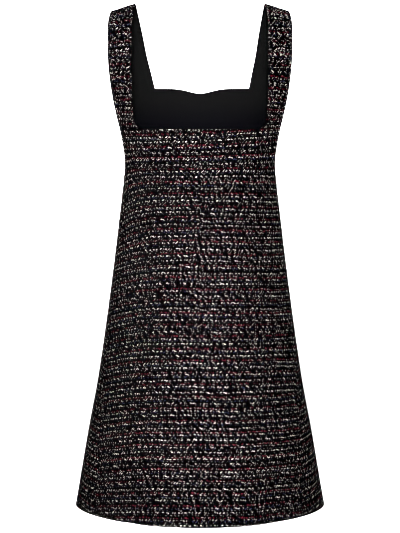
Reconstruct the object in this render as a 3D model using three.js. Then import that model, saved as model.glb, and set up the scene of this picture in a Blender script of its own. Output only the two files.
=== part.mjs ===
// A sleeveless flared mini dress in tweed, in the hollow shape it has when it is worn.
//
// Millimetres, +Z up. The back of the dress faces -Y and its front faces +Y. The origin lies midway
// between the two shoulder seams, where the wearer's shoulders carry the dress.
//
// Two coordinate patches describe one smooth skin, which is the wrong side of the tweed:
//   skirt: (turn, height), where turn runs round the body from the centre back (0) to the centre
//          front (180 degrees), up to the underarm;
//   yoke:  (side, x, climb), where climb runs from the underarm (0) to the shoulder ridge (1).
// Each cut piece is a wall that stands on its own patch of that skin.
import * as THREE from "three";

// Driving dimensions
const HEM = -851;               // height of the hem
const UNDERARM = -260;          // height where the side seams start
const NECK_POINT = 108.2;       // half width between the straps at the shoulder seam
const SHOULDER_SLOPE = 0.316;   // fall of the shoulder ridge for each millimetre outwards
const BACK_NECK = -210.5;       // height of the square back neckline
const BACK_CORNER = 18;         // radius of its corners
const FRONT_NECK = -135.5;      // height of the front neckline beside its dip
const DIP_DEPTH = 8;            // the sweetheart dip at the centre front
const DIP_WIDTH = 27;
const TWEED = 2.4;              // wall of the tweed with its backing
const LINING = 1;               // wall of the lining
const GAP = 0.42;               // between pieces, at every seam
const LINING_GAP = 0.65;        // between the front and its lining
const LINING_INSET = 1.05;      // the lining's edges lie this far inside those of the front
const RIDGE_INSET = 0.0021;     // radians; stops each piece short of the shoulder seam
const BACK_ROUNDING = 2;        // how full the back stays towards the shoulder ridge
const FRONT_ROUNDING = 1.6;     // the same for the front, which slopes back from the bust
const TWEED_COLOR = 0x352f2f;
const TWEED_ROUGHNESS = 0.95;
const LINING_COLOR = 0x171719;
const LINING_ROUGHNESS = 0.7;
const DEGREE = Math.PI / 180;

// The worn skirt, hem first. corner is 1 where a section is an ellipse and more where its sides
// pinch in to a rounded corner. seam is the turn of the side seams, which swing to the back. The row
// above the underarm only bends the skirt smoothly into the yoke, and the yoke's first row does the
// same from its side.
const SKIRT = [
  { height: -851, width: 211.2, back: 160, front: 180, corner: 1.3, seam: 53 },
  { height: -732, width: 190.2, back: 145, front: 163, corner: 1.2, seam: 61 },
  { height: -623, width: 170.1, back: 132, front: 150, corner: 1.12, seam: 69 },
  { height: -487, width: 150.1, back: 118, front: 137, corner: 1, seam: 80 },
  { height: -351, width: 132.7, back: 107, front: 129, corner: 0.91, seam: 87 },
  { height: -290, width: 125.7, back: 103.5, front: 129, corner: 0.85, seam: 89 },
  { height: -260, width: 123.9, back: 103, front: 129, corner: 0.82, seam: 90 },
  { height: -244.4, width: 127.6, back: 103, front: 128.5, corner: 0.79, seam: 90 },
];

// The yoke, underarm first. form is the half width of the figure inside, corner is as above, and the
// others are the half widths to the armhole edges and to the inner strap edges of the back and front.
const YOKE_COLUMNS = ["climb", "form", "corner", "armBack", "armFront", "neckBack", "neckFront"];
const YOKE = [
  [-0.115, 125.7, 0.85, 123.9, 123.9, 103.7, 57],
  [0, 123.9, 0.82, 123.9, 123.9, 103.7, 61.8],
  [0.06, 127.6, 0.79, 124.9, 124.1, 104.7, 64.8],
  [0.18, 137.2, 0.78, 129.8, 126.6, 107.6, 69.8],
  [0.29, 149.7, 0.8, 136.4, 131, 109.1, 74.7],
  [0.4, 162.3, 0.84, 142.3, 136.4, 110.8, 79.6],
  [0.54, 179.1, 0.9, 147.8, 142.3, 112, 86.5],
  [0.68, 188.9, 0.9, 151.1, 146.6, 112.3, 94.4],
  [0.82, 196.7, 0.9, 152.2, 149, 112.5, 100.3],
  [0.93, 198.6, 0.9, 152.1, 150.9, 111, 105.2],
  [1, 198.5, 0.9, 149.4, 149.4, NECK_POINT, NECK_POINT],
].map((row) => Object.fromEntries(row.map((value, k) => [YOKE_COLUMNS[k], value])));

// How many strips each piece is divided into
const NECK_STRIPS = 8;          // from the centre to the inner strap edge
const STRAP_STRIPS = 5;         // across a strap
const SKIRT_ROWS = 20;
const STRAP_ROWS = 12;
const BACK_YOKE_ROWS = 5;
const FRONT_YOKE_ROWS = 8;
const SKIRT_CROWDING = 1.5;     // above 1, the skirt's rows crowd towards the underarm
const YOKE_CROWDING = 1.8;      // above 1, the yoke's rows crowd towards the underarm
const SETTLING = 4;             // rounds in which a spot's width and its height settle together
const PROBE = 1e-3;             // step that measures how a skin slopes
const LINING_ROWS = 5;          // of the skirt's rows, the front's lining covers the topmost

// Smooth value of one column of a table at a place on its first column
function read(table, key, place, name) {
  let low = 0;
  while (low < table.length - 2 && table[low + 1][key] < place) low++;
  const a = table[low], b = table[low + 1];
  const span = b[key] - a[key];
  const t = THREE.MathUtils.clamp((place - a[key]) / span, 0, 1);
  const slope = (before, after) => (after[name] - before[name]) / (after[key] - before[key]);
  const leave = slope(table[Math.max(low - 1, 0)], b) * span;
  const arrive = slope(a, table[Math.min(low + 2, table.length - 1)]) * span;
  const rise = b[name] - a[name];
  return a[name] + t * (leave + t * (3 * rise - 2 * leave - arrive + t * (leave + arrive - 2 * rise)));
}
const skirtAt = (height, name) => read(SKIRT, "height", height, name);
const yokeAt = (climb, name) => read(YOKE, "climb", climb, name);
const seamTurn = (height) => skirtAt(height, "seam") * DEGREE;
const ridge = (x) => -SHOULDER_SLOPE * (Math.abs(x) - NECK_POINT);
const heightAt = (x, climb) => UNDERARM + (ridge(x) - UNDERARM) * climb;
const climbAt = (x, height) => (height - UNDERARM) / (ridge(x) - UNDERARM);

// The skin of the skirt. side is -1 towards the left of the dress seen from its back, +1 to the right.
function skirtSkin(side, turn, height) {
  const across = Math.cos(turn);
  const depth = across > 0 ? -skirtAt(height, "back") : skirtAt(height, "front");
  const x = side * skirtAt(height, "width") * Math.sin(turn);
  return new THREE.Vector3(x, depth * Math.abs(across) ** skirtAt(height, "corner"), height);
}

// The skin of the yoke. face is -1 on the back and +1 on the front; rise is the angle whose sine is
// the climb, so it passes evenly over the ridge.
function yokeSkin(face, x, rise) {
  const climb = Math.sin(rise);
  const across = Math.sqrt(Math.max(1 - (x / yokeAt(climb, "form")) ** 2, 0));
  const depth = skirtAt(UNDERARM, face < 0 ? "back" : "front") * across ** yokeAt(climb, "corner");
  const rounding = face < 0 ? BACK_ROUNDING : FRONT_ROUNDING;
  const fullness = Math.sqrt(Math.max(1 - Math.max(climb, 0) ** rounding, 0)) * Math.sign(Math.cos(rise));
  return new THREE.Vector3(x, face * depth * fullness, heightAt(x, climb));
}

// A point of a skin and the direction that points out of the dress there
function withNormal(skin, u, v, outward) {
  const along = skin(u + PROBE, v).sub(skin(u - PROBE, v));
  const up = skin(u, v + PROBE).sub(skin(u, v - PROBE));
  const normal = along.cross(up).normalize();
  return { point: skin(u, v), normal: normal.multiplyScalar(outward) };
}

// Half of a cut piece, from its centre line to its side seam: spot(column, row) gives a point and
// its normal, or null where the piece has been cut away.
function halfPiece({ face, side, centreGap, neckEdge, armName, neckHeight, cornerX, cornerHeight,
  yokeRows, inset }) {
  const arm = (climb) => Math.asin(Math.min(yokeAt(climb, armName) / yokeAt(climb, "form"), 1));
  const cornerClimb = climbAt(cornerX, cornerHeight);
  const cornerShare = Math.asin(cornerX / yokeAt(cornerClimb, "form")) / arm(cornerClimb);
  const columns = NECK_STRIPS + STRAP_STRIPS;
  const share = (column) => column <= NECK_STRIPS
    ? cornerShare * column / NECK_STRIPS
    : cornerShare + (1 - cornerShare) * (column - NECK_STRIPS) / STRAP_STRIPS;
  const hand = -face * side;      // which way a growing turn or x runs round the body

  function spot(column, row) {
    const part = share(column);
    if (row <= SKIRT_ROWS) {
      const height = UNDERARM - (UNDERARM - HEM) * (1 - row / SKIRT_ROWS) ** SKIRT_CROWDING;
      const width = skirtAt(height, "width");
      const centre = (face < 0 ? 0 : Math.PI) - face * centreGap / width;
      const seam = seamTurn(height) + face * inset / width;
      const turn = centre + (seam - centre) * part;
      return withNormal((u, v) => skirtSkin(side, u, v), turn, height, side);
    }
    if (row <= SKIRT_ROWS + yokeRows) {
      const up = ((row - SKIRT_ROWS) / yokeRows) ** YOKE_CROWDING;
      let climb = cornerClimb * up;
      let x = 0;
      for (let pass = 0; pass < SETTLING; pass++) {
        const from = centreGap / yokeAt(climb, "form");
        const edge = arm(climb) - inset / yokeAt(climb, "form");
        x = yokeAt(climb, "form") * Math.sin(from + (edge - from) * part);
        if (column < NECK_STRIPS) climb = climbAt(x, neckHeight(x)) * up;
      }
      return withNormal((u, v) => yokeSkin(face, u, v), side * x, Math.asin(climb), hand * side);
    }
    if (column < NECK_STRIPS) return null;
    const up = (row - SKIRT_ROWS - yokeRows) / STRAP_ROWS;
    const start = Math.asin(cornerClimb);
    const rise = start + (Math.PI / 2 - RIDGE_INSET - start) * up;
    const climb = Math.sin(rise);
    const form = yokeAt(climb, "form");
    const inner = Math.asin(neckEdge(climb) / form) + inset / form * Math.min(up * STRAP_ROWS, 1);
    const outer = arm(climb) - inset / form;
    const across = (column - NECK_STRIPS) / STRAP_STRIPS;
    const x = form * Math.sin(inner + (outer - inner) * across);
    return withNormal((u, v) => yokeSkin(face, u, v), side * x, rise, hand * side);
  }
  return { spot, columns, rows: SKIRT_ROWS + yokeRows + STRAP_ROWS };
}

// A closed wall over a grid of spots, between two distances from the skin
function wall({ spotAt, firstColumn, lastColumn, firstRow, lastRow, inner, outer }) {
  const positions = [];
  const index = new Map();
  for (let row = firstRow; row <= lastRow; row++) {
    for (let column = firstColumn; column <= lastColumn; column++) {
      const spot = spotAt(column, row);
      if (!spot) continue;
      index.set(`${column},${row}`, positions.length / 3);
      for (const distance of [inner, outer]) {
        const p = spot.point.clone().addScaledVector(spot.normal, distance);
        positions.push(p.x, p.y, p.z);
      }
    }
  }
  const triangles = [];
  const edges = new Map();
  const face = (a, b, c) => triangles.push(a, b, c);
  for (let row = firstRow; row < lastRow; row++) {
    for (let column = firstColumn; column < lastColumn; column++) {
      const corners = [[0, 0], [1, 0], [1, 1], [0, 1]]
        .map(([right, up]) => index.get(`${column + right},${row + up}`));
      if (corners.some((corner) => corner === undefined)) continue;
      const [a, b, c, d] = corners;
      face(a + 1, b + 1, c + 1);
      face(a + 1, c + 1, d + 1);
      face(a, c, b);
      face(a, d, c);
      corners.forEach((from, k) => {
        const to = corners[(k + 1) % corners.length];
        edges.set(`${from},${to}`, [from, to]);
      });
    }
  }
  for (const [from, to] of edges.values()) {
    if (edges.has(`${to},${from}`)) continue;
    face(from, to, to + 1);
    face(from, to + 1, from + 1);
  }
  const geometry = new THREE.BufferGeometry();
  geometry.setAttribute("position", new THREE.Float32BufferAttribute(positions, 3));
  geometry.setIndex(triangles);
  return geometry;
}

// The back neckline: level, with a rounded corner that the body and the strap share at its middle
const BACK_CORNER_X = yokeAt(climbAt(NECK_POINT, BACK_NECK), "neckBack");
const CORNER_SHARE = 1 - Math.SQRT1_2;
function backNeckHeight(x) {
  const into = x - (BACK_CORNER_X - BACK_CORNER);
  if (into <= 0) return BACK_NECK;
  return BACK_NECK + BACK_CORNER - Math.sqrt(Math.max(BACK_CORNER ** 2 - into ** 2, 0));
}
function backNeckEdge(climb) {
  const edge = yokeAt(climb, "neckBack");
  const below = BACK_NECK + BACK_CORNER - heightAt(edge, climb);
  if (below <= 0) return edge;
  return edge - BACK_CORNER + Math.sqrt(Math.max(BACK_CORNER ** 2 - below ** 2, 0));
}

// The front neckline: level, with a shallow sweetheart dip and sharp corners
const FRONT_CORNER_X = yokeAt(climbAt(NECK_POINT, FRONT_NECK), "neckFront");
const frontNeckHeight = (x) => FRONT_NECK - DIP_DEPTH * Math.exp(-((x / DIP_WIDTH) ** 2));
const frontNeckEdge = (climb) => yokeAt(climb, "neckFront");

const cloth = (color, roughness) => new THREE.MeshStandardMaterial({ color, roughness, metalness: 0 });
const tweed = () => cloth(TWEED_COLOR, TWEED_ROUGHNESS);
const lining = () => cloth(LINING_COLOR, LINING_ROUGHNESS);
const dress = new THREE.Group();

function add(name, geometry, material) {
  const mesh = new THREE.Mesh(geometry, material);
  mesh.name = name;
  dress.add(mesh);
}

// Two backs, mirror images, each with its strap cut in one with it
for (const [name, side] of [["back_left", -1], ["back_right", 1]]) {
  const half = halfPiece({
    face: -1,
    side,
    centreGap: GAP / 2,
    neckEdge: backNeckEdge,
    armName: "armBack",
    neckHeight: backNeckHeight,
    cornerX: BACK_CORNER_X - CORNER_SHARE * BACK_CORNER,
    cornerHeight: BACK_NECK + CORNER_SHARE * BACK_CORNER,
    yokeRows: BACK_YOKE_ROWS,
    inset: GAP / 2,
  });
  const firstColumn = side > 0 ? 0 : -half.columns;
  add(name, wall({
    spotAt: (column, row) => half.spot(side * column, row),
    firstColumn,
    lastColumn: firstColumn + half.columns,
    firstRow: 0,
    lastRow: half.rows,
    inner: 0,
    outer: TWEED,
  }), tweed());
}

// The front and its lining, each one piece from side seam to side seam with both straps
function wholeFront({ firstRow, inset, inner, outer }) {
  const shape = {
    face: 1,
    centreGap: 0,
    neckEdge: frontNeckEdge,
    armName: "armFront",
    neckHeight: frontNeckHeight,
    cornerX: FRONT_CORNER_X,
    cornerHeight: FRONT_NECK,
    yokeRows: FRONT_YOKE_ROWS,
    inset,
  };
  const left = halfPiece({ ...shape, side: -1 });
  const right = halfPiece({ ...shape, side: 1 });
  return wall({
    spotAt: (column, row) => (column > 0 ? left.spot(column, row) : right.spot(-column, row)),
    firstColumn: -left.columns,
    lastColumn: left.columns,
    firstRow,
    lastRow: left.rows,
    inner,
    outer,
  });
}
add("front", wholeFront({ firstRow: 0, inset: GAP / 2, inner: 0, outer: TWEED }), tweed());
add("front_lining", wholeFront({
  firstRow: SKIRT_ROWS - LINING_ROWS,
  inset: LINING_INSET,
  inner: -LINING_GAP - LINING,
  outer: -LINING_GAP,
}), lining());

export default dress;
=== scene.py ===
import math

import bpy
import numpy as np
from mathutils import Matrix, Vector, kdtree


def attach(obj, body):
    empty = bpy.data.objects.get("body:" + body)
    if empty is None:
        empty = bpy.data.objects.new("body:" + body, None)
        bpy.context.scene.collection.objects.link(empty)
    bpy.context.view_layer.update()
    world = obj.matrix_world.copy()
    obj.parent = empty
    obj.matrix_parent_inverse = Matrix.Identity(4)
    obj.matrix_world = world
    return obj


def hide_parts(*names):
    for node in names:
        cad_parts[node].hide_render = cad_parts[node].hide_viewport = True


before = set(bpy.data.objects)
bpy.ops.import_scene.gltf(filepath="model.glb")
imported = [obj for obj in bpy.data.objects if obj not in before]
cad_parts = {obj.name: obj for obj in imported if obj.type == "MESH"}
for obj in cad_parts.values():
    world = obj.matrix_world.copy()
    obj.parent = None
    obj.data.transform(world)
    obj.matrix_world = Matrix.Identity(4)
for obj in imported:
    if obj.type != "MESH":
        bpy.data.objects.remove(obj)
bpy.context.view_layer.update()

# ------------------------------------------------------------------ sizes, in millimetres
# The same sizes as the CAD part's: a sleeveless flared dress, its back facing -Y. Only the front neck
# differs: as worn, it sits 2 mm higher and a little to the right of the middle.
HEM, UNDERARM = -851.0, -260.0
NECK_POINT, SHOULDER_SLOPE = 108.2, 0.316
BACK_NECK, BACK_CORNER = -210.5, 18.0
FRONT_NECK, DIP_DEPTH, DIP_WIDTH = -133.5, 8.0, 27.0
FRONT_NECK_LEAN = 3.2
TWEED, LINING, LINING_GAP = 2.4, 1.0, 0.65
SEAM = -0.05           # half the gap at a seam: the pieces just meet
SHOULDER_LAP = 0.0006  # radians that each strap goes past the shoulder seam
LINING_INSET, LINING_END = 1.05, -333.9
EDGE_SHADE_WIDTH = 2.4      # width of the plain black edge without sheen where the cloth rolls over: painted shade of the fold
TWEED_ROUND, LINING_ROUND = 1.7, 0.7
BACK_ROUNDING, FRONT_ROUNDING = 2.0, 1.6
CORNER_SHARE = 1 - math.sqrt(0.5)
MM = 0.001


def table(names, rows):
    """A table as columns by name. The first column is the one that read() looks places up in."""
    return dict(zip(names.split(), np.array(rows, float).T))


SKIRT = table("height width back front corner seam", [
    (-851.0, 211.2, 160.0, 180.0, 1.30, 53),
    (-732.0, 190.2, 145.0, 163.0, 1.20, 61),
    (-623.0, 170.1, 132.0, 150.0, 1.12, 69),
    (-487.0, 150.1, 118.0, 137.0, 1.00, 80),
    (-351.0, 132.7, 107.0, 129.0, 0.91, 87),
    (-290.0, 125.7, 103.5, 129.0, 0.85, 89),
    (-260.0, 123.9, 103.0, 129.0, 0.82, 90),
    (-244.4, 127.6, 103.0, 128.5, 0.79, 90),
])
YOKE = table("climb form corner armBack armFront neckBack neckFront", [
    (-0.115, 125.7, 0.85, 123.9, 123.9, 103.7, 57.0),
    (0.00, 123.9, 0.82, 123.9, 123.9, 103.7, 61.8),
    (0.06, 127.6, 0.79, 124.9, 124.1, 104.7, 64.8),
    (0.18, 137.2, 0.78, 129.8, 126.6, 107.6, 69.8),
    (0.29, 149.7, 0.80, 136.4, 131.0, 109.1, 74.7),
    (0.40, 162.3, 0.84, 142.3, 136.4, 110.8, 79.6),
    (0.54, 179.1, 0.90, 147.8, 142.3, 112.0, 86.5),
    (0.68, 188.9, 0.90, 151.1, 146.6, 112.3, 94.4),
    (0.82, 196.7, 0.90, 152.2, 149.0, 112.5, 100.3),
    (0.93, 198.6, 0.90, 152.1, 150.9, 111.0, 105.2),
    (1.00, 198.5, 0.90, 149.4, 149.4, NECK_POINT, NECK_POINT),
])

# Soft troughs (depth under 0) and ridges of the worn cloth, end to end, on each face. half is the half
# width, where about a third of the depth is left.
CREASES = table("face x1 z1 x2 z2 half depth", [
    (-1, 118, -325, 62, -436, 11, -4.0),
    (-1, 100, -310, 50, -395, 13, 1.6),
    (-1, 96, -280, 84, -300, 13, -3.0),
    (-1, 112, -362, 84, -402, 10, -1.6),
    (-1, -112, -282, -98, -304, 13, -3.0),
    (-1, -104, -318, -70, -352, 12, -2.8),
    (-1, -122, -352, -84, -330, 12, 1.3),
    (-1, -128, -800, -108, -866, 15, -3.4),
    (-1, -90, -745, -82, -866, 22, 2.0),
    (-1, 60, -690, 72, -866, 26, 2.2),
    (-1, 112, -720, 128, -866, 18, -2.4),
    (-1, -20, -640, -26, -866, 34, -1.8),
    (-1, 132, -480, 146, -640, 14, -1.5),
    (-1, -128, -500, -138, -640, 15, -1.4),
    (1, 118, -300, 66, -372, 12, -2.4),
    (1, -116, -296, -58, -352, 13, -2.2),
    (1, -108, -340, -60, -420, 14, -1.5),
    (1, 104, -262, 82, -286, 12, 1.6),
    (1, 52, -600, 74, -866, 24, 3.2),
    (1, 112, -640, 132, -866, 20, -3.0),
    (1, -46, -640, -64, -866, 26, 3.0),
    (1, -104, -590, -128, -866, 22, -2.8),
    (1, 4, -700, 2, -866, 30, -2.2),
    (1, 160, -700, 176, -866, 16, 2.2),
    (1, -158, -680, -174, -866, 17, 2.0),
])


def read(rows, place, name):
    """Smooth value of one column of a table at places on its first column."""
    knots, values = next(iter(rows.values())), rows[name]
    before, after = np.r_[0, :len(knots) - 1], np.r_[1:len(knots), len(knots) - 1]
    tangent = (values[after] - values[before]) / (knots[after] - knots[before])
    place = np.asarray(place, float)
    low = np.clip(np.searchsorted(knots, place, side="right") - 1, 0, len(knots) - 2)
    span = knots[low + 1] - knots[low]
    t = np.clip((place - knots[low]) / span, 0, 1)
    leave, arrive = tangent[low] * span, tangent[low + 1] * span
    rise = values[low + 1] - values[low]
    return values[low] + t * (leave + t * (3 * rise - 2 * leave - arrive + t * (leave + arrive - 2 * rise)))


def ridge(x):
    """Height of the shoulder ridge."""
    return -SHOULDER_SLOPE * (np.abs(x) - NECK_POINT)


def height_at(x, climb):
    """Height of a spot of the yoke, which climbs from the underarm (0) to the ridge (1)."""
    return UNDERARM + (ridge(x) - UNDERARM) * climb


def climb_at(x, height):
    return (height - UNDERARM) / (ridge(x) - UNDERARM)


def skirt_skin(side, turn, height):
    """The skin of the skirt. turn runs round the body from the centre back (0) to the front (pi)."""
    across = np.cos(turn)
    depth = np.where(across > 0, -read(SKIRT, height, "back"), read(SKIRT, height, "front"))
    x = side * read(SKIRT, height, "width") * np.sin(turn)
    return np.stack([x, depth * np.abs(across) ** read(SKIRT, height, "corner"), height + 0 * x], -1)


def yoke_skin(face, x, rise):
    """The skin of the yoke. rise is the angle whose sine is the climb, so it passes evenly over the ridge."""
    climb = np.sin(rise)
    across = np.sqrt(np.clip(1 - (x / read(YOKE, climb, "form")) ** 2, 0, None))
    depth = read(SKIRT, UNDERARM, "back" if face < 0 else "front") * across ** read(YOKE, climb, "corner")
    rounding = BACK_ROUNDING if face < 0 else FRONT_ROUNDING
    full = np.sqrt(np.clip(1 - np.clip(climb, 0, None) ** rounding, 0, None)) * np.sign(np.cos(rise))
    return np.stack([x + 0 * climb, face * depth * full, height_at(x, climb)], -1)


def with_normal(skin, u, v, outward):
    """Points of a skin and its normals there."""
    step = 1e-3
    along = skin(u + step, v) - skin(u - step, v)
    up = skin(u, v + step) - skin(u, v - step)
    normal = np.cross(along, up)
    normal /= np.maximum(np.linalg.norm(normal, axis=-1, keepdims=True), 1e-12)
    return skin(u, v), normal * outward


def back_neck_height(x):
    """Height of the square back neckline, with its rounded corners."""
    into = np.clip(x - (BACK_CORNER_X - BACK_CORNER), 0, BACK_CORNER)
    return BACK_NECK + BACK_CORNER - np.sqrt(BACK_CORNER ** 2 - into ** 2)


def back_neck_edge(climb):
    """Half width to the inner edge of a strap on the back, with the neckline's rounded corner."""
    edge = read(YOKE, climb, "neckBack")
    below = np.clip(BACK_NECK + BACK_CORNER - height_at(edge, climb), 0, BACK_CORNER)
    return edge - BACK_CORNER + np.sqrt(BACK_CORNER ** 2 - below ** 2)


def front_neck_height(x):
    """Height of the front neckline, with its sweetheart dip."""
    return FRONT_NECK - DIP_DEPTH * np.exp(-((x / DIP_WIDTH) ** 2))


BACK_CORNER_X = float(read(YOKE, climb_at(NECK_POINT, BACK_NECK), "neckBack"))
FRONT_CORNER_X = float(read(YOKE, climb_at(NECK_POINT, FRONT_NECK), "neckFront"))
FACES = {
    -1: {
        "arm": "armBack",
        "neck_edge": back_neck_edge,
        "neck_height": back_neck_height,
        "corner_x": BACK_CORNER_X - CORNER_SHARE * BACK_CORNER,
        "corner_height": BACK_NECK + CORNER_SHARE * BACK_CORNER,
        "lean": 0.0,
    },
    1: {
        "arm": "armFront",
        "neck_edge": lambda climb: read(YOKE, climb, "neckFront"),
        "neck_height": front_neck_height,
        "corner_x": FRONT_CORNER_X,
        "corner_height": FRONT_NECK,
        "lean": FRONT_NECK_LEAN,
    },
}

# Rough spans that set the numbers of quads: across half a neckline, across a strap and up a strap
NECK_SPAN, STRAP_SPAN, STRAP_LENGTH = 130.0, 62.0, 290.0
STRAP_NARROW = 55.0  # the span in which a strap's fine edge strips are measured
SETTLING = 4         # rounds in which a spot's width and its height settle together


def stations(count, length, fine=(0.45, 1.1, 2.1)):
    """Places from 0 to 1, even but for a few more close to both ends, at the fine distances in mm."""
    ends = np.array(fine) / length
    inside = np.linspace(0, 1, count + 1)
    clear = ends[-1] * 1.4
    inside = inside[(inside > clear) & (inside < 1 - clear)]
    return np.r_[0, ends, inside, 1 - ends[::-1], 1]


def length_table(face):
    """Length of cloth up from the underarm along the inner side of a strap, for each rise."""
    rise = np.linspace(0, math.pi / 2, 181)
    spots = yoke_skin(face, 0 * rise + STRAP_INNER, rise)
    steps = np.linalg.norm(np.diff(spots, axis=0), axis=-1)
    return rise, np.r_[0, np.cumsum(steps)]


def cloth_up(face, x, rise):
    """How far up its cloth a point of the yoke lies. Rows of the weave run level across a strap."""
    outward = SHOULDER_SLOPE * (x - STRAP_INNER) * np.sin(rise)
    return UNDERARM + np.interp(rise, *LENGTHS[face]) - outward


STRAP_INNER = 110.0
LENGTHS = {face: length_table(face) for face in (-1, 1)}


def half_piece(face, side, centre_gap, inset, pitch, end=HEM):
    """One half of a cut piece as a grid: points, normals, and the cloth's own coordinates.

    Its columns run from the centre to the side seam, armhole or outer strap edge, and its rows from the
    end up to the shoulder seam. The corner of the neckline parts the columns into neck and strap."""
    spec = FACES[face]
    across, upward = pitch

    def arm(climb):
        return np.arcsin(np.clip(read(YOKE, climb, spec["arm"]) / read(YOKE, climb, "form"), 0, 1))

    def with_girth(skin, *place):
        point, normal = with_normal(skin, *place)
        steps = np.diff(point, axis=1, prepend=point[:, :1])
        return point, normal, np.cumsum(np.linalg.norm(steps, axis=-1), 1)

    corner_x = spec["corner_x"] + side * spec["lean"]
    corner_climb = float(climb_at(corner_x, spec["corner_height"]))
    corner = math.asin(corner_x / float(read(YOKE, corner_climb, "form"))) / float(arm(corner_climb))
    neck = stations(round(NECK_SPAN / across), NECK_SPAN) * corner
    strap = corner + stations(round(STRAP_SPAN / across), STRAP_NARROW) * (1 - corner)
    share = np.r_[neck, strap[1:]]
    necks = len(neck) - 1
    hand = -face * side

    # the skirt, without the fine rows that would crowd the underarm
    tall = UNDERARM - end
    height = end + stations(round(tall / upward), tall) * tall
    height = np.r_[height[:-5], UNDERARM][:, None]
    width = read(SKIRT, height, "width")
    centre = (0 if face < 0 else math.pi) - face * centre_gap / width
    seam = np.radians(read(SKIRT, height, "seam")) + face * inset / width
    turn = centre + (seam - centre) * share[None, :]
    skirt = with_girth(lambda u, v: skirt_skin(side, u, v), turn, height, side)
    skirt_cloth = height + 0 * turn

    # the yoke up to the neckline
    tall = spec["corner_height"] - UNDERARM
    up = stations(round(tall / upward), tall)[4:, None]
    climb = corner_climb * up + 0 * share[None, :]
    for _ in range(SETTLING):
        form = read(YOKE, climb, "form")
        start = centre_gap / form
        x = form * np.sin(start + (arm(climb) - inset / form - start) * share[None, :])
        body = climb_at(x, spec["neck_height"](x)) * up
        climb = np.where(np.arange(len(share)) < necks, body, climb)
    rise = np.arcsin(climb)
    yoke = with_girth(lambda u, v: yoke_skin(face, u, v), side * x, rise, hand * side)
    yoke_cloth = cloth_up(face, x, rise)

    # the strap from the neckline's corner to the shoulder seam
    up = stations(round(STRAP_LENGTH / upward), STRAP_LENGTH)[1:, None]
    first = math.asin(corner_climb)
    rise = first + (math.pi / 2 + SHOULDER_LAP - first) * up
    climb = np.sin(rise)
    form = read(YOKE, climb, "form")
    inner_x = spec["neck_edge"](climb) + side * spec["lean"] * (1 - up) ** 2
    inner = np.arcsin(inner_x / form) + inset / form * np.clip(up * 12, 0, 1)
    outer = arm(climb) - inset / form
    part = (share[None, necks:] - share[necks]) / (1 - share[necks])
    x = form * np.sin(inner + (outer - inner) * part)
    rise = rise + 0 * x
    top = with_girth(lambda u, v: yoke_skin(face, u, v), side * x, rise, hand * side)
    top_girth = top[2] + (yoke[2][-1, necks] + x[:, :1] - corner_x)
    top_cloth = cloth_up(face, x, rise)

    def stacked(lower, middle, upper):
        """The three grids as one, with nothing (nan) between the straps."""
        shape = (upper.shape[0], necks) + upper.shape[2:]
        return np.concatenate([lower, middle, np.concatenate([np.full(shape, np.nan), upper], 1)], 0)

    cloth = stacked(skirt_cloth, yoke_cloth, top_cloth)
    sewn = np.zeros(cloth.shape)
    sewn[:len(height), -1] = 1
    sewn[-1] = 1
    if face < 0:
        sewn[:, 0] = 1
    return {
        "point": stacked(skirt[0], yoke[0], top[0]),
        "normal": stacked(skirt[1], yoke[1], top[1]),
        "girth": side * stacked(skirt[2], yoke[2], top_girth),
        "cloth": cloth,
        "sewn": sewn,
    }


def joined(left, right):
    """Two half pieces as one, the left one's columns counted from its side seam."""
    return {key: np.concatenate([left[key][:, :0:-1], right[key]], 1) for key in left}


# ------------------------------------------------------------------ drape and weave on the grids
def lattice_noise(seed, u, v):
    """Smooth noise from -1 to 1 on whole-number steps of u and v."""
    rng = np.random.default_rng(seed)
    grid = rng.uniform(-1, 1, (64, 64))
    i, j = np.floor(u).astype(int), np.floor(v).astype(int)
    p, q = u - i, v - j
    p, q = p * p * (3 - 2 * p), q * q * (3 - 2 * q)

    def at(a, b):
        return grid[a % 64, b % 64]

    return ((1 - p) * (1 - q) * at(i, j) + p * (1 - q) * at(i + 1, j)
            + (1 - p) * q * at(i, j + 1) + p * q * at(i + 1, j + 1))


def crease_depth(point, face):
    """How far the creases of one face lift its points, in mm."""
    x, z = point[..., 0], point[..., 2]
    total = np.zeros(x.shape)
    for k in np.flatnonzero(CREASES["face"] == face):
        c = {name: CREASES[name][k] for name in CREASES}
        dx, dz = c["x2"] - c["x1"], c["z2"] - c["z1"]
        along = ((x - c["x1"]) * dx + (z - c["z1"]) * dz) / (dx * dx + dz * dz)
        near = np.clip(along, 0, 1)
        gap = np.hypot(x - c["x1"] - near * dx, z - c["z1"] - near * dz)
        fade = np.sin(math.pi * np.clip(0.12 + 0.76 * along, 0, 1)) ** 0.7
        total += c["depth"] * fade * np.exp(-(gap / c["half"]) ** 2)
    return total


# How the rows lie by height: the flare (1 / the distance to the cone's tip), the mismatch at the
# centre back, how the left side sags (its bend, and the girth where it starts) and how much the right
# side is lifted
ROWS = table("height flare mismatch sag start lift", [
    (-851, 7.8e-4, 0.0, 0.0006, 70, 0.0),
    (-764, 8.1e-4, 0.2, 0.0010, 60, 0.0),
    (-662, 8.3e-4, 0.6, 0.0010, 50, 0.0),
    (-560, 7.5e-4, 1.0, 0.0016, 62, 0.0),
    (-492, 6.8e-4, 1.5, 0.0016, 55, 0.0),
    (-424, 6.1e-4, 2.1, 0.0019, 42, 0.0),
    (-356, 4.5e-4, 3.3, 0.0044, 65, 0.0),
    (-322, 3.3e-4, 2.0, 0.0048, 70, 0.0),
    (-290, 2.0e-4, 0.5, 0.0020, 74, 0.0),
    (-250, 1.0e-4, -1.2, 0.0, 75, 0.06),
    (-215, 0.0, -2.2, 0.0, 75, 0.09),
    (-150, 0.0, -2.0, 0.0, 75, 0.0),
    (60, 0.0, -1.0, 0.0, 75, 0.0),
])


FRONT_CLOTH = 400  # how far along the cloth from the backs the front is cut
MAP_STEP = 100.0   # millimetres of cloth to one step of the weave map


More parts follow.
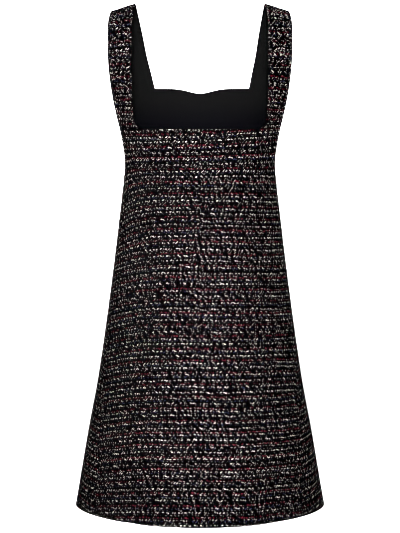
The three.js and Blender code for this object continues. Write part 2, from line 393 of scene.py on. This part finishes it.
def weave_coordinates(grid, face, drop):
    """Where each grid point lies on the cloth: along the weft rows and across them, in mm.

    drop is how much of the flare the rows follow on the left and on the right side."""
    girth, cloth = grid["girth"], grid["cloth"]
    height = np.clip(cloth, HEM, 60)
    share = np.where(girth < 0, drop[0], drop[1])
    v = cloth + share * read(ROWS, height, "flare") * girth ** 2 / 2
    if face < 0:
        past = np.clip(-girth - read(ROWS, height, "start"), 0, None)
        sag = read(ROWS, height, "sag") * past ** 2 / 2
        v = v + np.where(girth > 0, read(ROWS, height, "mismatch"), sag)
        v = v - read(ROWS, height, "lift") * np.clip(girth - 30, 0, None)
    v = v + 0.9 * lattice_noise(5 + face, girth / 45 + 20, cloth / 60 + 30)
    # the rows wander more on the straps
    strap_mask = np.clip((height + 190) / 40, 0, 1)
    small = 1.7 * lattice_noise(31, girth / 5.5, cloth / 5)
    large = 1.3 * lattice_noise(32, girth / 11, cloth / 9)
    v = v + strap_mask * (small + large)
    u = girth + FRONT_CLOTH * (face > 0) + strap_mask * 1.5 * lattice_noise(33, girth / 6, cloth / 6)
    return u, v


def distance_to(points, targets):
    """Distance from each point to the nearest target."""
    tree = kdtree.KDTree(len(targets))
    for k, target in enumerate(targets):
        tree.insert(target, k)
    tree.balance()
    return np.array([tree.find(point)[2] for point in points])


def shell(name, grid, face, drop, inner, outer, relief, round_over):
    """A closed sheet of cloth on a grid, between two distances from the skin, its edges rounded.

    Its materials are the right side, the wrong side and the rolled edge, a black cloth without sheen that
    paints the shade of the fold. A lining has both sides alike."""
    point, normal = grid["point"], grid["normal"]
    u, v = weave_coordinates(grid, face, drop)
    here = ~np.isnan(point[..., 0])
    rows, columns = here.shape
    number = np.full(here.shape, -1)
    number[here] = np.arange(here.sum())
    quads = np.stack([number[:-1, :-1], number[:-1, 1:], number[1:, 1:], number[1:, :-1]], -1).reshape(-1, 4)
    quads = quads[(quads >= 0).all(1)]
    count = int(here.sum())
    edges = np.concatenate([quads[:, [k, (k + 1) % 4]] for k in range(4)])
    key = edges[:, 0].astype(np.int64) * count + edges[:, 1]
    back = edges[:, 1].astype(np.int64) * count + edges[:, 0]
    rim = edges[~np.isin(key, back)]
    p, n = point[here], normal[here]
    first = quads[0]
    facing_out = np.sum(np.cross(p[first[1]] - p[first[0]], p[first[3]] - p[first[0]]) * n[first[0]]) >= 0
    sewn = grid["sewn"][here][rim[:, 0]] > 0
    free = distance_to(p, p[rim[~sewn, 0]])
    seam = distance_to(p, p[rim[sewn, 0]]) if sewn.any() else free + 1e3
    calm = np.clip(seam / 30, 0, 1)  # creases die away towards the seams
    p = p + n * (crease_depth(p, face) * calm * calm * (3 - 2 * calm))[:, None]
    middle, half = (inner + outer) / 2, (outer - inner) / 2
    round_free = np.sqrt(np.clip(1 - np.clip(1 - free / round_over, 0, 1) ** 2, 0.06, 1))
    round_seam = 1 - 0.35 * np.clip(1 - seam / 0.9, 0, 1) ** 2
    half = half * np.minimum(round_free, round_seam)
    lift = relief(u[here], v[here]) * np.clip(free / 2.5, 0, 1) if relief else 0 * free
    over = p + n * (middle + half + lift)[:, None]
    under = p + n * (middle - half)[:, None]
    if not facing_out:
        quads, rim = quads[:, ::-1], rim[:, ::-1]
    sides = np.stack([rim[:, 0] + count, rim[:, 1] + count, rim[:, 1], rim[:, 0]], -1)
    faces = np.concatenate([quads, quads[:, ::-1] + count, sides])
    plain, near_edge = relief is None, free[quads].max(1) < EDGE_SHADE_WIDTH
    # near a free edge the wrong side of the tweed, and both sides and the cut edges of a lining, take the
    # black edge cloth: painted shade where the cloth rolls over
    right, wrong, shaded_edge = 0, 1, 2
    kinds = np.r_[np.where(near_edge & plain, shaded_edge, right), np.where(near_edge, shaded_edge, wrong),
                  np.full(len(sides), shaded_edge if plain else right)]
    mesh = bpy.data.meshes.new(name)
    mesh.vertices.add(2 * count)
    mesh.vertices.foreach_set("co", (np.concatenate([over, under]) * MM).astype(np.float32).ravel())
    mesh.loops.add(faces.size)
    mesh.loops.foreach_set("vertex_index", faces.astype(np.int32).ravel())
    mesh.polygons.add(len(faces))
    mesh.polygons.foreach_set("loop_start", np.arange(0, faces.size, 4, dtype=np.int32))
    mesh.polygons.foreach_set("material_index", kinds.astype(np.int32))
    mesh.polygons.foreach_set("use_smooth", np.ones(len(faces), bool))
    layer = mesh.uv_layers.new(name="weave")
    uv = np.stack([u[here], v[here]], -1) / MAP_STEP
    layer.data.foreach_set("uv", np.concatenate([uv, uv])[faces.ravel()].astype(np.float32).ravel())
    mesh.update()
    mesh.validate()
    made = bpy.data.objects.new(name, mesh)
    bpy.context.scene.collection.objects.link(made)
    return made


# The weft repeat, up the cloth, and the height at which one starts
REPEAT = 19.3
PHASE = 2.0
WARP_BEAT = 11.2  # how often the warp holds the weft down, along a row


def row_relief(u, v):
    """Height of the raised weft rows over the ground of the weave, in mm."""
    turn = (v - PHASE) / REPEAT * 2 * math.pi
    rows = 0.5 + 0.5 * np.cos(2 * turn)
    lumps = lattice_noise(11, u / 3.7, v / 3.4) * 0.5 + lattice_noise(12, u / 7.9, v / 5.1) * 0.3
    return 0.1 + 0.5 * rows * (0.75 + 0.5 * lumps) + 0.12 * lumps


# ------------------------------------------------------------------ materials
class Nodes:
    """Short hand for building a node tree."""

    def __init__(self, tree):
        self.tree = tree

    def add(self, kind, inputs=(), **settings):
        node = self.tree.nodes.new(kind)
        for name, value in settings.items():
            setattr(node, name, value)
        for name, value in dict(inputs).items():
            self.plug(value, node.inputs[name])
        return node

    def plug(self, value, socket):
        if isinstance(value, bpy.types.NodeSocket):
            self.tree.links.new(value, socket)
        else:
            socket.default_value = value

    def math(self, operation, a, b=0.0, c=0.0, clamp=False):
        node = self.add("ShaderNodeMath", operation=operation, use_clamp=clamp)
        for socket, value in zip(node.inputs, (a, b, c)):
            self.plug(value, socket)
        return node.outputs[0]

    def mix(self, share, a, b, blend="MIX"):
        node = self.add("ShaderNodeMix", data_type="RGBA", blend_type=blend)
        self.plug(share, node.inputs[0])
        self.plug(a, node.inputs[6])
        self.plug(b, node.inputs[7])
        return node.outputs[2]

    def step(self, value, low, high, to_low=0.0, to_high=1.0):
        node = self.add("ShaderNodeMapRange", interpolation_type="SMOOTHSTEP")
        for socket, number in zip(node.inputs, (value, low, high, to_low, to_high)):
            self.plug(number, socket)
        return node.outputs[0]

    def vector(self, x, y, z=0.0):
        return self.add("ShaderNodeCombineXYZ", {"X": x, "Y": y, "Z": z}).outputs[0]

    def noise(self, vector, scale, detail=2.0, output=0):
        node = self.add("ShaderNodeTexNoise", {"Vector": vector, "Scale": scale, "Detail": detail})
        return node.outputs[output]


def slub_group():
    """One kind of weft yarn: domes strung along rows, each with its own random colour value."""
    tree = bpy.data.node_groups.new("slub_yarn", "ShaderNodeTree")
    names = ("U", "V", "Place", "Pitch", "Half height", "Cell", "Half length", "Slant", "Seed", "Presence",
             "Grouping")
    for name in names:
        tree.interface.new_socket(name, in_out="INPUT", socket_type="NodeSocketFloat")
    for name in ("Height", "Other", "Row shade", "Row tint"):
        tree.interface.new_socket(name, in_out="OUTPUT", socket_type="NodeSocketFloat")
    n = Nodes(tree)
    given = {name: tree.nodes.new("NodeGroupInput").outputs[name] for name in names}
    t = n.math("DIVIDE", n.math("SUBTRACT", given["V"], given["Place"]), given["Pitch"])
    row = n.math("ROUND", t)
    seeded = n.math("ADD", n.math("MULTIPLY", row, 17.317), given["Seed"])
    chance = n.add("ShaderNodeTexWhiteNoise", {"W": seeded}, noise_dimensions="1D").outputs["Color"]
    chance = n.add("ShaderNodeSeparateColor", {"Color": chance}).outputs
    shift = n.math("MULTIPLY", n.math("SUBTRACT", chance[0], 0.5), 1.9)
    dv = n.math("SUBTRACT", n.math("MULTIPLY", n.math("SUBTRACT", t, row), given["Pitch"]), shift)
    along = n.math("ADD", n.math("DIVIDE", given["U"], given["Cell"]), seeded)
    cells = n.add("ShaderNodeTexVoronoi", {"W": along, "Scale": 1.0, "Randomness": 0.85},
                  voronoi_dimensions="1D", feature="F1")
    du = n.math("MULTIPLY", n.math("SUBTRACT", along, cells.outputs["W"]), given["Cell"])
    parts = n.add("ShaderNodeSeparateColor", {"Color": cells.outputs["Color"]}).outputs
    sign = n.math("SUBTRACT", n.math("MULTIPLY", parts[2], 2.0), 0.75)
    lean = n.math("MULTIPLY", n.math("MULTIPLY", du, given["Slant"]), sign)
    lean = n.math("MULTIPLY_ADD", n.math("SUBTRACT", parts[0], 0.5), 1.5, lean)
    tall = n.math("DIVIDE", n.math("SUBTRACT", dv, lean), given["Half height"])
    size = n.math("MULTIPLY_ADD", parts[1], 0.7, 0.65)
    wide = n.math("DIVIDE", du, n.math("MULTIPLY", given["Half length"], size))
    r2 = n.math("ADD", n.math("MULTIPLY", tall, tall), n.math("MULTIPLY", wide, wide))
    dome = n.math("SQRT", n.math("SUBTRACT", 1.0, r2, clamp=True))
    bunches = n.vector(n.math("DIVIDE", given["U"], given["Grouping"]), n.math("MULTIPLY", row, 7.7))
    strewn = n.noise(bunches, 1.0, 1.0)
    strewn = n.math("MULTIPLY_ADD", n.math("SUBTRACT", chance[1], 0.5), 0.14, strewn)
    for period, much in ((WARP_BEAT, 0.034), (17.3, 0.008)):
        wave = n.math("SINE", n.math("MULTIPLY", given["U"], 2 * math.pi / period))
        strewn = n.math("MULTIPLY_ADD", wave, much, strewn)
    shown = n.step(n.math("ADD", strewn, n.math("MULTIPLY", parts[0], 0.44)),
                   n.math("SUBTRACT", 0.83, given["Presence"]), n.math("SUBTRACT", 0.89, given["Presence"]))
    out = tree.nodes.new("NodeGroupOutput")
    under = n.math("MULTIPLY_ADD", row, WARP_BEAT / 2, given["U"])
    under = n.math("COSINE", n.math("MULTIPLY", under, 2 * math.pi / WARP_BEAT))
    n.plug(n.math("MULTIPLY", dome, shown), out.inputs["Height"])
    n.plug(parts[1], out.inputs["Other"])
    shade = n.math("MULTIPLY_ADD", chance[1], 0.44, 0.78)
    n.plug(n.math("MULTIPLY", shade, n.math("MULTIPLY_ADD", under, 0.22, 0.86)), out.inputs["Row shade"])
    n.plug(chance[2], out.inputs["Row tint"])
    return tree


# Each kind of yarn: its place in the repeat, half thickness, cell and half length of its slubs, slant,
# how much of its row shows, how its slubs bunch, how high it stands, how much it is painted lighter (over 0,
# when it also shows more of its row) or darker (under 0) on the straps, painted light and shade that even out
# the lamps' stronger light there, and its dark and light colours
YARNS = [
    ("cream", 0.0, 1.45, 5.5, 1.75, 0.55, 0.40, 5.2, 1.00, -0.30,
     (0.026, 0.0245, 0.0228), (0.158, 0.151, 0.141)),
    ("oat", 8.3, 1.40, 5.7, 1.80, 0.70, 0.39, 5.6, 0.95, -0.30,
     (0.023, 0.0218, 0.0202), (0.144, 0.138, 0.129)),
    ("crimson", 12.0, 1.50, 5.2, 2.1, 0.50, 0.29, 9.0, 0.80, -0.24,
     (0.0050, 0.0007, 0.0012), (0.0240, 0.0020, 0.0043)),
    ("blush", 12.4, 1.2, 6.1, 1.5, 0.80, 0.24, 5.0, 0.85, -0.10,
     (0.018, 0.0152, 0.0150), (0.105, 0.093, 0.088)),
    ("fleck", 4.2, 1.2, 6.1, 1.5, 0.80, 0.23, 5.0, 0.60, 0.40,
     (0.004, 0.004, 0.004), (0.048, 0.047, 0.043)),
    ("mote", 16.0, 1.2, 6.6, 1.5, 0.80, 0.25, 4.6, 0.60, 0.40,
     (0.004, 0.004, 0.004), (0.052, 0.050, 0.046)),
    ("navy", 5.6, 1.3, 6.3, 1.9, 0.60, 0.24, 7.0, 0.50, 0.00,
     (0.0008, 0.0012, 0.0028), (0.0045, 0.0056, 0.0135)),
]


def tweed_material(yarns):
    """Nubby tweed: slub yarns laid over a black ground, each in its own rows."""
    material = bpy.data.materials.new("nubby_tweed")
    material.use_nodes = True
    tree = material.node_tree
    tree.nodes.clear()
    n = Nodes(tree)
    uv = n.add("ShaderNodeUVMap", uv_map="weave").outputs[0]
    cloth = n.add("ShaderNodeVectorMath", operation="SCALE")
    n.plug(uv, cloth.inputs[0])
    cloth.inputs["Scale"].default_value = MAP_STEP
    cloth = cloth.outputs[0]
    plain = n.add("ShaderNodeSeparateXYZ", {"Vector": cloth}).outputs
    wide = n.add("ShaderNodeSeparateColor", {"Color": n.noise(cloth, 0.055, 1.0, 1)}).outputs
    fine = n.add("ShaderNodeSeparateColor", {"Color": n.noise(cloth, 0.42, 2.0, 1)}).outputs
    u = n.math("ADD", plain[0], n.math("MULTIPLY", n.math("SUBTRACT", fine[0], 0.5), 2.8))
    v = n.math("ADD", plain[1], n.math("MULTIPLY", n.math("SUBTRACT", wide[0], 0.5), 2.4))
    v = n.math("ADD", v, n.math("MULTIPLY", n.math("SUBTRACT", fine[1], 0.5), 1.3))
    # on the straps the plain yarns fill in more and the pale ones are darkened: painted light on the dull
    # yarns and painted shade on the pale ones, evening out the lamps' stronger light on the straps
    strap_mask = n.step(plain[1], -215.0, -135.0)
    group = slub_group()
    # the ground: black warp and weft, with a fine ribbed grain
    grain = n.noise(n.vector(n.math("MULTIPLY", u, 0.9), n.math("MULTIPLY", v, 1.5)), 1.0, 2.0)
    height = n.math("MULTIPLY", grain, 0.5)
    speck = n.noise(n.vector(n.math("MULTIPLY", u, 0.30), n.math("MULTIPLY", v, 0.42)), 1.0, 1.0, 1)
    speck = n.add("ShaderNodeSeparateColor", {"Color": speck}).outputs
    tone = n.mix(n.step(speck[0], 0.44, 0.56), (0.0005, 0.0008, 0.0020, 1), (0.0005, 0.0012, 0.0011, 1))
    tone = n.mix(n.step(speck[1], 0.52, 0.60), tone, (0.0018, 0.0003, 0.0006, 1))
    color = n.mix(n.step(grain, 0.52, 0.62), (0.0, 0.0, 0.0, 1), tone)
    for k, yarn in enumerate(yarns):
        _, place, half, cell, length, slant, presence, grouping, lift, strap_painted_light, dark, light = yarn
        node = n.add("ShaderNodeGroup", {}, node_tree=group)
        # on the straps the dull yarns show over more of their rows: painted light that lifts the darks there
        more = n.math("MULTIPLY_ADD", strap_mask, 0.3 * max(strap_painted_light, 0.0), presence)
        for name, value in (("U", u), ("V", v), ("Place", place + PHASE), ("Pitch", REPEAT),
                            ("Half height", half), ("Cell", cell), ("Half length", length),
                            ("Slant", slant), ("Seed", 31.7 * k + 3.1), ("Presence", more),
                            ("Grouping", grouping)):
            n.plug(value, node.inputs[name])
        top = n.math("MULTIPLY", node.outputs["Height"], lift)
        over = n.step(n.math("SUBTRACT", top, height), -0.05, 0.12)
        tint = n.mix(node.outputs["Other"], (*dark, 1), (*light, 1))
        tint = n.mix(node.outputs["Row tint"], n.mix(1.0, tint, (1.03, 0.98, 1.0, 1), "MULTIPLY"),
                     n.mix(1.0, tint, (0.975, 1.0, 0.94, 1), "MULTIPLY"))
        # painted shade on the pale yarns and painted light on the dull ones, on the straps only
        shade = n.math("MULTIPLY", node.outputs["Row shade"], n.math("MULTIPLY_ADD", strap_mask, strap_painted_light, 1.0))
        tint = n.mix(1.0, tint, n.vector(shade, shade, shade), "MULTIPLY")
        # painted shade: each slub darkens to black towards its low edges, where it rounds down into the
        # ground
        tint = n.mix(n.step(node.outputs["Height"], 0.2, 0.85, 0.9, 0.0), tint, (0.0001, 0.0001, 0.0001, 1))
        color = n.mix(over, color, tint)
        height = n.math("MAXIMUM", height, top)
    bump = n.add("ShaderNodeBump", {"Height": height, "Distance": 0.0011, "Strength": 1.0})
    shader = n.add("ShaderNodeBsdfPrincipled",
                   {"Base Color": color, "Roughness": 0.88, "Normal": bump.outputs[0]})
    shader.inputs["IOR"].default_value = 1.0
    n.add("ShaderNodeOutputMaterial", {"Surface": shader.outputs[0]})
    return material


def plain_cloth(name, low, high, roughness, thread, specular, fade=(-9e3, 9e3)):
    """A fine plain weave of one dark colour with a random mottle, and painted light that makes it paler up
    the cloth between two heights.
    """
    material = bpy.data.materials.new(name)
    material.use_nodes = True
    tree = material.node_tree
    tree.nodes.clear()
    n = Nodes(tree)
    cloth = n.add("ShaderNodeUVMap", uv_map="weave").outputs[0]
    up = n.math("MULTIPLY", n.add("ShaderNodeSeparateXYZ", {"Vector": cloth}).outputs[1], MAP_STEP)
    # a random mottle, plus painted light that grows up the cloth between the two fade heights
    mottle_and_painted_light = n.math("MULTIPLY_ADD", n.noise(cloth, 6.0, 3.0), 0.2, n.step(up, *fade, -0.1, 0.9))
    weave = n.noise(cloth, thread, 2.0)
    color = n.mix(mottle_and_painted_light, (*low, 1), (*high, 1))
    bump = n.add("ShaderNodeBump", {"Height": weave, "Distance": 0.0002, "Strength": 0.5})
    shader = n.add("ShaderNodeBsdfPrincipled",
                   {"Base Color": color, "Roughness": roughness, "Normal": bump.outputs[0]})
    shader.inputs["IOR"].default_value = 1.08 if specular else 1.0
    shader.inputs["Specular IOR Level"].default_value = specular
    shader.inputs["Specular Tint"].default_value = (0.92, 0.95, 1.0, 1.0)
    n.add("ShaderNodeOutputMaterial", {"Surface": shader.outputs[0]})
    return material


tweed = tweed_material(YARNS)
inside = plain_cloth("tweed_wrong_side", (0.0015, 0.0015, 0.0018), (0.003, 0.003, 0.0034), 0.9, 900.0, 0.16)
# the lining is painted paler from 200 to 140 mm down, up to its neckline: painted light on its top, which
# catches more light than the part in the back's shade
lining = plain_cloth("black_lining", (0.0003, 0.0003, 0.0005), (0.0008, 0.0008, 0.0008), 0.75, 1400.0, 0.11,
                     (-200.0, -140.0))
# painted shade: a black cloth without sheen for the band where the cloth rolls over at its free edges
painted_edge_shade = plain_cloth("edge_painted_shade", (0.0003, 0.0003, 0.0003), (0.0005, 0.0005, 0.0005), 0.9, 1400.0, 0.0)

# ------------------------------------------------------------------ the pieces
# The quads' width and height, and how much of the flare the rows follow on the left and the right side
BACK_PITCH, FRONT_PITCH, LINING_PITCH = (2.1, 2.0), (3.2, 2.7), (5.0, 5.0)
BACK_DROP, FRONT_DROP, LINING_DROP = (0.9, 0.5), (0.35, 0.35), (1.0, 1.0)
backs = {
    side: shell("tweed_back_" + name, half_piece(-1, side, SEAM, SEAM, BACK_PITCH),
                -1, BACK_DROP, 0.0, TWEED, row_relief, TWEED_ROUND)
    for name, side in (("left", -1), ("right", 1))
}
front = shell("tweed_front", joined(half_piece(1, -1, 0.0, SEAM, FRONT_PITCH),
                                    half_piece(1, 1, 0.0, SEAM, FRONT_PITCH)),
              1, FRONT_DROP, 0.0, TWEED, row_relief, TWEED_ROUND)
facing = shell("front_lining_cloth", joined(half_piece(1, -1, 0.0, LINING_INSET, LINING_PITCH, LINING_END),
                                            half_piece(1, 1, 0.0, LINING_INSET, LINING_PITCH, LINING_END)),
               1, LINING_DROP, -LINING_GAP - LINING, -LINING_GAP, None, LINING_ROUND)

for piece, node, slot in ((backs[-1], "back_left", "tweed"), (backs[1], "back_right", "tweed"),
                          (front, "front", "tweed"), (facing, "front_lining", "lining")):
    for material in (tweed, inside, painted_edge_shade) if slot == "tweed" else (lining, lining, painted_edge_shade):
        piece.data.materials.append(material)
    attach(piece, "root")
    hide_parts(node)
    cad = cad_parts[node]
    cad.data.materials.clear()
    cad.data.materials.append(tweed if slot == "tweed" else lining)


# ------------------------------------------------------------------ studio
def studio():
    """A pale floor that sweeps up into a wall all round, in metres."""
    floor, reach, sweep = -1.4, 4.0, 1.5
    profile = [(0.0, floor), (1.0, floor), (2.5, floor), (reach, floor)]
    profile += [(reach + sweep * math.sin(a), floor + sweep - sweep * math.cos(a))
                for a in np.radians(np.arange(9, 91, 9))]
    profile += [(reach + sweep, 2.0), (reach + sweep, 4.0)]
    turns = 96
    points = [(r * math.cos(2 * math.pi * k / turns), r * math.sin(2 * math.pi * k / turns), z)
              for r, z in profile for k in range(turns)]
    faces = [(i * turns + k, i * turns + (k + 1) % turns,
              (i + 1) * turns + (k + 1) % turns, (i + 1) * turns + k)
             for i in range(len(profile) - 1) for k in range(turns)]
    mesh = bpy.data.meshes.new("studio_cove")
    mesh.from_pydata(points, [], faces)
    for polygon in mesh.polygons:
        polygon.use_smooth = True
    cove = bpy.data.objects.new("studio_cove", mesh)
    bpy.context.scene.collection.objects.link(cove)
    paper = bpy.data.materials.new("pale_paper")
    paper.use_nodes = True
    n = Nodes(paper.node_tree)
    shader = paper.node_tree.nodes["Principled BSDF"]
    soft = n.noise(n.add("ShaderNodeTexCoord").outputs["Object"], 3.0, 2.0)
    n.plug(n.mix(soft, (0.76, 0.76, 0.76, 1), (0.79, 0.79, 0.79, 1)), shader.inputs["Base Color"])
    shader.inputs["Roughness"].default_value = 0.9
    shader.inputs["Emission Color"].default_value = (1, 1, 1, 1)
    shader.inputs["Emission Strength"].default_value = 0.09
    mesh.materials.append(paper)
    return cove


cove = studio()

scene = bpy.context.scene
world = bpy.data.worlds.new("studio_world")
scene.world = world
world.use_nodes = True
world.node_tree.nodes["Background"].inputs["Color"].default_value = (1, 1, 1, 1)
world.node_tree.nodes["Background"].inputs["Strength"].default_value = 0.06


def lamp(name, place, aim, size, watts, spread=180):
    """A rectangular soft lamp that the camera does not see, spreading its light over some degrees."""
    data = bpy.data.lights.new(name, "AREA")
    data.shape = "RECTANGLE"
    data.size, data.size_y = size
    data.energy = watts
    data.spread = math.radians(spread)
    made = bpy.data.objects.new(name, data)
    made.location = place
    made.rotation_euler = (Vector(aim) - Vector(place)).to_track_quat("-Z", "Y").to_euler()
    made.visible_camera = False
    scene.collection.objects.link(made)


lamp("key_softbox", (0, -3.3, 0.4), (0, 0, -0.45), (1.0, 1.0), 120)
lamp("strip_softbox", (0, -3.3, -0.1), (0, 0, -0.42), (0.2, 1.5), 12, 9)
lamp("upper_softbox", (0, -3.3, 0.15), (0, 0, 0.02), (0.7, 0.06), 3.9, 9)
lamp("fill_softbox", (0.8, -3.2, 0.0), (0, 0, -0.45), (1.2, 1.6), 30)
lamp("back_softbox", (0.0, 3.3, 0.4), (0, 0, -0.42), (1.0, 1.0), 190)
lamp("backdrop_softbox", (0.4, 0.8, 1.9), (0.4, 4.4, -0.8), (1.8, 0.6), 180)

# ------------------------------------------------------------------ camera
CAMERA_PITCH = 3.608  # degrees that the camera looks down
camera_data = bpy.data.cameras.new("camera")
camera_data.lens = 95.45
camera_data.sensor_fit = "AUTO"
camera_data.sensor_width = 36
camera = bpy.data.objects.new("camera", camera_data)
camera.location = (0, -2.4, -0.2887)
camera.rotation_euler = (math.radians(90 - CAMERA_PITCH), 0, 0)
scene.collection.objects.link(camera)
bpy.context.scene.camera = camera
scene.view_settings.view_transform = "Standard"
scene.view_settings.look = "None"
scene.view_settings.exposure = 0.0
scene.cycles.filter_width = 0.7
